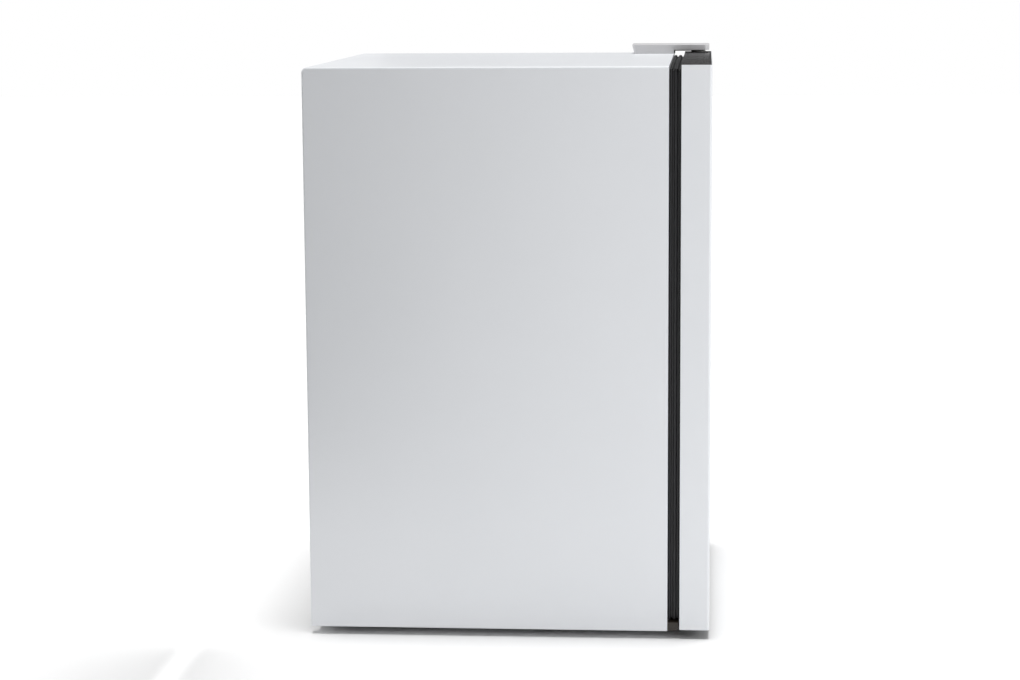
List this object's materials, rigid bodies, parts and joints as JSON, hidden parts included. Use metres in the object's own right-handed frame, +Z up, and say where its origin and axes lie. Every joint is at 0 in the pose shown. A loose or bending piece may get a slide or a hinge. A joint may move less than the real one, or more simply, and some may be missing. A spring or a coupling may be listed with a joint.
{
  "type": "mini fridge",
  "caption": "Compact free-standing refrigerator with one right-hinged door, freezer box, wire shelves, door bins and a rear compressor.",
  "frame": {"origin": "on the floor, under the middle of the overall outline", "axes": "+Z up, the door faces -Y, +X to the right as seen from the front (hinge side)"},
  "size_m": [0.472, 0.45, 0.651],
  "materials": {
    "white_paint": "satin",
    "steel": "satin",
    "galvanised": "satin",
    "black_paint": "satin",
    "dark_trim": "gloss",
    "rail_plastic": "satin",
    "white_liner": "satin",
    "foam": "matte",
    "seal": "matte",
    "silver_plastic": "satin",
    "bush_plastic": "satin",
    "foot_plastic": "matte",
    "shelf_wire": "gloss",
    "evaporator": "satin",
    "frame_plastic": "satin",
    "clear_plastic": "gloss",
    "copper": "satin",
    "grommet": "matte",
    "switch_plastic": "satin"
  },
  "bodies": {
    "cabinet": {"cabinet_shell": "white_paint", "base_plate": "galvanised", "lower_crossbar": "black_paint", "kick_rail": "rail_plastic", "inner_liner": "white_liner", "cabinet_foam": "foam", "back_panel": "galvanised", "back_panel_screws": "steel", "machine_housing": "galvanised", "top_hinge_plate": "black_paint", "top_hinge_pin": "steel", "hinge_backing_plate": "galvanised", "top_hinge_screws": "steel", "top_hinge_cover": "silver_plastic", "lower_hinge_bracket": "black_paint", "lower_hinge_pin": "steel", "lower_hinge_screws": "steel", "foot_sockets": "bush_plastic", "rear_feet": "foot_plastic", "evaporator_box": "evaporator", "evaporator_hangers": "bush_plastic", "freezer_frame": "frame_plastic", "thermostat_housing": "white_liner", "thermostat_switch": "switch_plastic", "compressor": "black_paint", "compressor_plate": "black_paint", "compressor_grommets": "grommet", "compressor_bolts": "steel", "relay_box": "switch_plastic", "wall_coil_left": "copper", "wall_coil_right": "copper", "suction_line": "copper", "discharge_line": "copper", "filter_drier": "copper", "drier_inlet_line": "copper", "capillary_line": "copper", "cord_gland": "foot_plastic"},
    "door": {"door_skin": "white_paint", "door_top_cap": "dark_trim", "door_bottom_cap": "dark_trim", "door_liner": "white_liner", "door_foam": "foam", "door_seal": "seal", "top_hinge_bush": "bush_plastic", "lower_hinge_bush": "bush_plastic"},
    "upper_bin": {"door_bin_upper": "clear_plastic"},
    "lower_bin": {"door_bin_lower": "clear_plastic"},
    "freezer_flap": {"freezer_flap": "clear_plastic"},
    "drip_tray": {"drip_tray": "clear_plastic"},
    "upper_shelf": {"shelf_upper": "shelf_wire"},
    "lower_shelf": {"shelf_lower": "shelf_wire"},
    "thermostat": {"thermostat_knob": "frame_plastic", "thermostat_shaft": "steel"},
    "left_foot": {"levelling_foot_left": "foot_plastic"},
    "right_foot": {"levelling_foot_right": "foot_plastic"}
  },
  "joints": [
    {"name": "door_hinge", "type": "hinge", "parent": "cabinet", "child": "door", "pos_m": [0.224, -0.20825, 0.32], "axis": [0, 0, 1], "range_deg": [0, 125]},
    {"name": "upper_bin_lift", "type": "slide", "parent": "door", "child": "upper_bin", "axis": [0, 0, 1], "range_m": [0, 0.02]},
    {"name": "lower_bin_lift", "type": "slide", "parent": "door", "child": "lower_bin", "axis": [0, 0, 1], "range_m": [0, 0.02]},
    {"name": "freezer_flap_hinge", "type": "hinge", "parent": "cabinet", "child": "freezer_flap", "pos_m": [-0.02, -0.061, 0.583], "axis": [-1, 0, 0], "range_deg": [0, 88]},
    {"name": "drip_tray_slide", "type": "slide", "parent": "cabinet", "child": "drip_tray", "axis": [0, -1, 0], "range_m": [0, 0.08]},
    {"name": "upper_shelf_slide", "type": "slide", "parent": "cabinet", "child": "upper_shelf", "axis": [0, -1, 0], "range_m": [0, 0.022]},
    {"name": "lower_shelf_slide", "type": "slide", "parent": "cabinet", "child": "lower_shelf", "axis": [0, -1, 0], "range_m": [0, 0.06]},
    {"name": "thermostat_turn", "type": "hinge", "parent": "cabinet", "child": "thermostat", "pos_m": [0.181, -0.13, 0.54], "axis": [0, -1, 0], "range_deg": [-280, 0]},
    {"name": "left_foot_turn", "type": "hinge", "parent": "cabinet", "child": "left_foot", "pos_m": [-0.184, -0.1, 0], "axis": [0, 0, 1], "range_deg": [0, 720]},
    {"name": "right_foot_turn", "type": "hinge", "parent": "cabinet", "child": "right_foot", "pos_m": [0.184, -0.1, 0], "axis": [0, 0, 1], "range_deg": [0, 720]}
  ]
}
